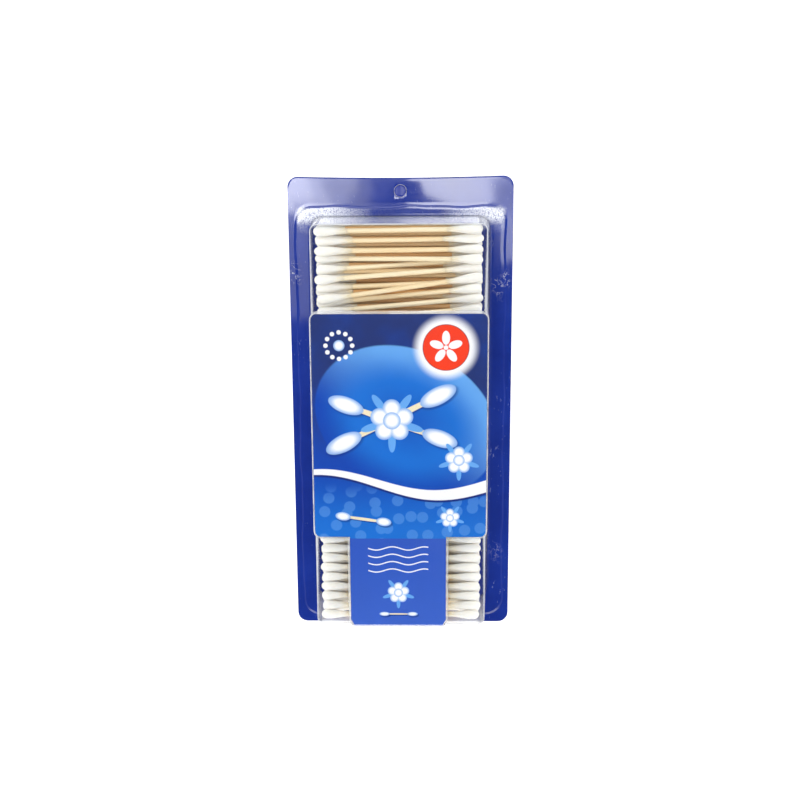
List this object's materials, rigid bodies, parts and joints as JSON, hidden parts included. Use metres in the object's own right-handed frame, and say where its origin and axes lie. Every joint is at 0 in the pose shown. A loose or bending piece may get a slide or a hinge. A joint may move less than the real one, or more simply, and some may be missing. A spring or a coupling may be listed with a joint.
{
  "type": "cotton swab blister pack",
  "caption": "Sealed hang card with a clear drafted blister full of double-tipped cotton swabs, a printed insert and a punched hang hole.",
  "frame": {"origin": "under the middle of the card, on the back face that it lies on", "axes": "+X across the pack to the right as its front is read, +Y along the pack towards the hang hole, +Z out of the card towards the blister's front face"},
  "size_m": [0.107, 0.2231, 0.0434],
  "materials": {
    "card_blue_front": "gloss coated print",
    "card_blue_back": "gloss coated print",
    "chad_board": "gloss coated print",
    "clear_film": "clear vacuum-formed film",
    "label_print": "gloss print in blues and white",
    "pale_wood": "plain split wood",
    "cotton": "wound cotton"
  },
  "bodies": {
    "root": {"back_card": "card_blue_back", "front_card": "card_blue_front", "hang_hole_chad": "chad_board", "blister_shell": "clear_film", "label_insert": "label_print", "sticks_1": "pale_wood", "sticks_2": "pale_wood", "sticks_3": "pale_wood", "sticks_4": "pale_wood", "sticks_5": "pale_wood", "sticks_6": "pale_wood", "sticks_7": "pale_wood", "sticks_8": "pale_wood", "sticks_9": "pale_wood", "buds_left_1": "cotton", "buds_left_2": "cotton", "buds_left_3": "cotton", "buds_left_4": "cotton", "buds_left_5": "cotton", "buds_left_6": "cotton", "buds_left_7": "cotton", "buds_left_8": "cotton", "buds_left_9": "cotton", "buds_right_1": "cotton", "buds_right_2": "cotton", "buds_right_3": "cotton", "buds_right_4": "cotton", "buds_right_5": "cotton", "buds_right_6": "cotton", "buds_right_7": "cotton", "buds_right_8": "cotton", "buds_right_9": "cotton"}
  },
  "joints": []
}
